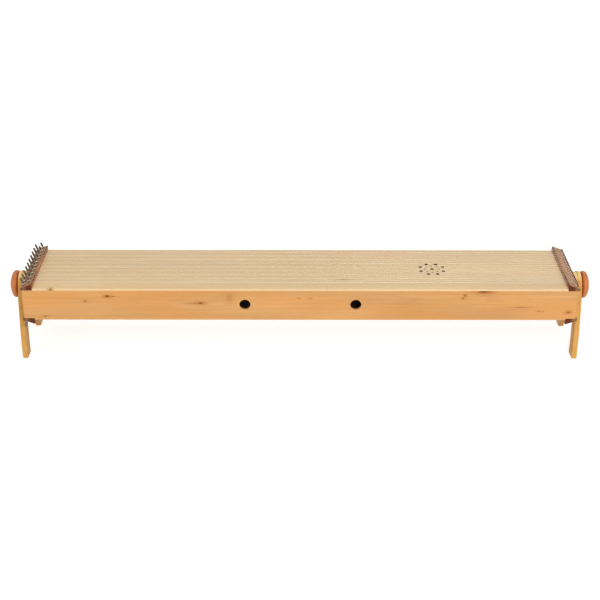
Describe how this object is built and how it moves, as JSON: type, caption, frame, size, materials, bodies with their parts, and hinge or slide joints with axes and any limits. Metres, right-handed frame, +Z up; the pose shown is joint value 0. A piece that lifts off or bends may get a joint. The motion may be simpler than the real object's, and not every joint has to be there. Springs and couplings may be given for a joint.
{
  "type": "monochord",
  "caption": "Long flat wooden soundbox strung on both faces, with tuning pins at one end, held by round clamping knobs between two arched end stands so that it can be turned over.",
  "frame": {"origin": "on the floor under the middle of the instrument", "axes": "+X along the strings from the tuning pins to the hitch pins, +Y away from the player, +Z up"},
  "size_m": [1.3462, 0.21, 0.2069],
  "materials": {
    "spruce": "satin oil, fine straight lengthwise grain",
    "side_wood": "satin oil, small knots and brown streaks",
    "block_wood": "satin oil, end grain",
    "lining_wood": "bare",
    "rail_wood": "satin oil, reddish brown hardwood",
    "stand_wood": "satin oil, yellow orange",
    "knob_wood": "polished, reddish orange, turned",
    "pin_steel": "blued steel, slightly worn",
    "string_steel": "bright drawn wire",
    "dark_steel": "dark steel",
    "zinc_steel": "zinc plated",
    "insert_brass": "turned"
  },
  "bodies": {
    "soundbox": {"top_soundboard": "spruce", "bottom_soundboard": "spruce", "front_side": "side_wood", "back_side": "side_wood", "left_end_block": "block_wood", "right_end_block": "block_wood", "side_linings": "lining_wood", "cross_braces": "lining_wood", "top_pin_rail": "rail_wood", "bottom_pin_rail": "rail_wood", "top_hitch_rail": "rail_wood", "bottom_hitch_rail": "rail_wood", "top_hitch_pins": "dark_steel", "bottom_hitch_pins": "dark_steel", "rail_screws": "dark_steel", "top_strings": "string_steel", "bottom_strings": "string_steel", "threaded_inserts": "insert_brass"},
    "left_stand": {"left_stand": "stand_wood", "left_collar": "stand_wood"},
    "right_stand": {"right_stand": "stand_wood", "right_collar": "stand_wood"},
    "left_washer": {"left_washer": "zinc_steel"},
    "right_washer": {"right_washer": "zinc_steel"},
    "left_knob": {"left_knob": "knob_wood", "left_stud": "zinc_steel"},
    "right_knob": {"right_knob": "knob_wood", "right_stud": "zinc_steel"},
    "top_pin_01": {"top_pin_01": "pin_steel"},
    "top_pin_02": {"top_pin_02": "pin_steel"},
    "top_pin_03": {"top_pin_03": "pin_steel"},
    "top_pin_04": {"top_pin_04": "pin_steel"},
    "top_pin_05": {"top_pin_05": "pin_steel"},
    "top_pin_06": {"top_pin_06": "pin_steel"},
    "top_pin_07": {"top_pin_07": "pin_steel"},
    "top_pin_08": {"top_pin_08": "pin_steel"},
    "top_pin_09": {"top_pin_09": "pin_steel"},
    "top_pin_10": {"top_pin_10": "pin_steel"},
    "top_pin_11": {"top_pin_11": "pin_steel"},
    "top_pin_12": {"top_pin_12": "pin_steel"},
    "top_pin_13": {"top_pin_13": "pin_steel"},
    "top_pin_14": {"top_pin_14": "pin_steel"},
    "top_pin_15": {"top_pin_15": "pin_steel"},
    "top_pin_16": {"top_pin_16": "pin_steel"},
    "top_pin_17": {"top_pin_17": "pin_steel"},
    "top_pin_18": {"top_pin_18": "pin_steel"},
    "top_pin_19": {"top_pin_19": "pin_steel"},
    "top_pin_20": {"top_pin_20": "pin_steel"},
    "bottom_pin_01": {"bottom_pin_01": "pin_steel"},
    "bottom_pin_02": {"bottom_pin_02": "pin_steel"},
    "bottom_pin_03": {"bottom_pin_03": "pin_steel"},
    "bottom_pin_04": {"bottom_pin_04": "pin_steel"},
    "bottom_pin_05": {"bottom_pin_05": "pin_steel"},
    "bottom_pin_06": {"bottom_pin_06": "pin_steel"},
    "bottom_pin_07": {"bottom_pin_07": "pin_steel"},
    "bottom_pin_08": {"bottom_pin_08": "pin_steel"},
    "bottom_pin_09": {"bottom_pin_09": "pin_steel"},
    "bottom_pin_10": {"bottom_pin_10": "pin_steel"},
    "bottom_pin_11": {"bottom_pin_11": "pin_steel"},
    "bottom_pin_12": {"bottom_pin_12": "pin_steel"}
  },
  "joints": [
    {"name": "left_stand_turn", "type": "hinge", "parent": "soundbox", "child": "left_stand", "pos_m": [-0.646, 0, 0.145], "axis": [1, 0, 0], "continuous": true},
    {"name": "right_stand_turn", "type": "hinge", "parent": "soundbox", "child": "right_stand", "pos_m": [0.646, 0, 0.145], "axis": [1, 0, 0], "continuous": true},
    {"name": "left_knob_turn", "type": "hinge", "parent": "left_washer", "child": "left_knob", "pos_m": [-0.655, 0, 0.145], "axis": [-1, 0, 0], "range_deg": [0, 720]},
    {"name": "left_clamp_slide", "type": "slide", "parent": "soundbox", "child": "left_washer", "axis": [-1, 0, 0], "range_m": [0, 0.0026]},
    {"name": "right_knob_turn", "type": "hinge", "parent": "right_washer", "child": "right_knob", "pos_m": [0.655, 0, 0.145], "axis": [1, 0, 0], "range_deg": [0, 720]},
    {"name": "right_clamp_slide", "type": "slide", "parent": "soundbox", "child": "right_washer", "axis": [1, 0, 0], "range_m": [0, 0.0026]},
    {"name": "top_pin_01_turn", "type": "hinge", "parent": "soundbox", "child": "top_pin_01", "pos_m": [-0.6202, -0.09495, 0.18834], "axis": [-0.342, 0, 0.9397], "continuous": true},
    {"name": "top_pin_02_turn", "type": "hinge", "parent": "soundbox", "child": "top_pin_02", "pos_m": [-0.6104, -0.08496, 0.1919], "axis": [-0.342, 0, 0.9397], "continuous": true},
    {"name": "top_pin_03_turn", "type": "hinge", "parent": "soundbox", "child": "top_pin_03", "pos_m": [-0.6202, -0.07496, 0.18834], "axis": [-0.342, 0, 0.9397], "continuous": true},
    {"name": "top_pin_04_turn", "type": "hinge", "parent": "soundbox", "child": "top_pin_04", "pos_m": [-0.6104, -0.06497, 0.1919], "axis": [-0.342, 0, 0.9397], "continuous": true},
    {"name": "top_pin_05_turn", "type": "hinge", "parent": "soundbox", "child": "top_pin_05", "pos_m": [-0.6202, -0.05497, 0.18834], "axis": [-0.342, 0, 0.9397], "continuous": true},
    {"name": "top_pin_06_turn", "type": "hinge", "parent": "soundbox", "child": "top_pin_06", "pos_m": [-0.6104, -0.04498, 0.1919], "axis": [-0.342, 0, 0.9397], "continuous": true},
    {"name": "top_pin_07_turn", "type": "hinge", "parent": "soundbox", "child": "top_pin_07", "pos_m": [-0.6202, -0.03498, 0.18834], "axis": [-0.342, 0, 0.9397], "continuous": true},
    {"name": "top_pin_08_turn", "type": "hinge", "parent": "soundbox", "child": "top_pin_08", "pos_m": [-0.6104, -0.02499, 0.1919], "axis": [-0.342, 0, 0.9397], "continuous": true},
    {"name": "top_pin_09_turn", "type": "hinge", "parent": "soundbox", "child": "top_pin_09", "pos_m": [-0.6202, -0.01499, 0.18834], "axis": [-0.342, 0, 0.9397], "continuous": true},
    {"name": "top_pin_10_turn", "type": "hinge", "parent": "soundbox", "child": "top_pin_10", "pos_m": [-0.6104, -0.005, 0.1919], "axis": [-0.342, 0, 0.9397], "continuous": true},
    {"name": "top_pin_11_turn", "type": "hinge", "parent": "soundbox", "child": "top_pin_11", "pos_m": [-0.6202, 0.005, 0.18834], "axis": [-0.342, 0, 0.9397], "continuous": true},
    {"name": "top_pin_12_turn", "type": "hinge", "parent": "soundbox", "child": "top_pin_12", "pos_m": [-0.6104, 0.01499, 0.1919], "axis": [-0.342, 0, 0.9397], "continuous": true},
    {"name": "top_pin_13_turn", "type": "hinge", "parent": "soundbox", "child": "top_pin_13", "pos_m": [-0.6202, 0.02499, 0.18834], "axis": [-0.342, 0, 0.9397], "continuous": true},
    {"name": "top_pin_14_turn", "type": "hinge", "parent": "soundbox", "child": "top_pin_14", "pos_m": [-0.6104, 0.03498, 0.1919], "axis": [-0.342, 0, 0.9397], "continuous": true},
    {"name": "top_pin_15_turn", "type": "hinge", "parent": "soundbox", "child": "top_pin_15", "pos_m": [-0.6202, 0.04498, 0.18834], "axis": [-0.342, 0, 0.9397], "continuous": true},
    {"name": "top_pin_16_turn", "type": "hinge", "parent": "soundbox", "child": "top_pin_16", "pos_m": [-0.6104, 0.05497, 0.1919], "axis": [-0.342, 0, 0.9397], "continuous": true},
    {"name": "top_pin_17_turn", "type": "hinge", "parent": "soundbox", "child": "top_pin_17", "pos_m": [-0.6202, 0.06497, 0.18834], "axis": [-0.342, 0, 0.9397], "continuous": true},
    {"name": "top_pin_18_turn", "type": "hinge", "parent": "soundbox", "child": "top_pin_18", "pos_m": [-0.6104, 0.07496, 0.1919], "axis": [-0.342, 0, 0.9397], "continuous": true},
    {"name": "top_pin_19_turn", "type": "hinge", "parent": "soundbox", "child": "top_pin_19", "pos_m": [-0.6202, 0.08496, 0.18834], "axis": [-0.342, 0, 0.9397], "continuous": true},
    {"name": "top_pin_20_turn", "type": "hinge", "parent": "soundbox", "child": "top_pin_20", "pos_m": [-0.6104, 0.09495, 0.1919], "axis": [-0.342, 0, 0.9397], "continuous": true},
    {"name": "bottom_pin_01_turn", "type": "hinge", "parent": "soundbox", "child": "bottom_pin_01", "pos_m": [-0.6202, -0.09495, 0.10166], "axis": [-0.342, 0, -0.9397], "continuous": true},
    {"name": "bottom_pin_02_turn", "type": "hinge", "parent": "soundbox", "child": "bottom_pin_02", "pos_m": [-0.6104, -0.07769, 0.0981], "axis": [-0.342, 0, -0.9397], "continuous": true},
    {"name": "bottom_pin_03_turn", "type": "hinge", "parent": "soundbox", "child": "bottom_pin_03", "pos_m": [-0.6202, -0.06042, 0.10166], "axis": [-0.342, 0, -0.9397], "continuous": true},
    {"name": "bottom_pin_04_turn", "type": "hinge", "parent": "soundbox", "child": "bottom_pin_04", "pos_m": [-0.6104, -0.04316, 0.0981], "axis": [-0.342, 0, -0.9397], "continuous": true},
    {"name": "bottom_pin_05_turn", "type": "hinge", "parent": "soundbox", "child": "bottom_pin_05", "pos_m": [-0.6202, -0.0259, 0.10166], "axis": [-0.342, 0, -0.9397], "continuous": true},
    {"name": "bottom_pin_06_turn", "type": "hinge", "parent": "soundbox", "child": "bottom_pin_06", "pos_m": [-0.6104, -0.00863, 0.0981], "axis": [-0.342, 0, -0.9397], "continuous": true},
    {"name": "bottom_pin_07_turn", "type": "hinge", "parent": "soundbox", "child": "bottom_pin_07", "pos_m": [-0.6202, 0.00863, 0.10166], "axis": [-0.342, 0, -0.9397], "continuous": true},
    {"name": "bottom_pin_08_turn", "type": "hinge", "parent": "soundbox", "child": "bottom_pin_08", "pos_m": [-0.6104, 0.0259, 0.0981], "axis": [-0.342, 0, -0.9397], "continuous": true},
    {"name": "bottom_pin_09_turn", "type": "hinge", "parent": "soundbox", "child": "bottom_pin_09", "pos_m": [-0.6202, 0.04316, 0.10166], "axis": [-0.342, 0, -0.9397], "continuous": true},
    {"name": "bottom_pin_10_turn", "type": "hinge", "parent": "soundbox", "child": "bottom_pin_10", "pos_m": [-0.6104, 0.06042, 0.0981], "axis": [-0.342, 0, -0.9397], "continuous": true},
    {"name": "bottom_pin_11_turn", "type": "hinge", "parent": "soundbox", "child": "bottom_pin_11", "pos_m": [-0.6202, 0.07769, 0.10166], "axis": [-0.342, 0, -0.9397], "continuous": true},
    {"name": "bottom_pin_12_turn", "type": "hinge", "parent": "soundbox", "child": "bottom_pin_12", "pos_m": [-0.6104, 0.09495, 0.0981], "axis": [-0.342, 0, -0.9397], "continuous": true}
  ],
  "couplings": [
    {"joint": "left_clamp_slide", "follows": "left_knob_turn", "m_per_rad": 0.00019894},
    {"joint": "right_clamp_slide", "follows": "right_knob_turn", "m_per_rad": 0.00019894}
  ]
}
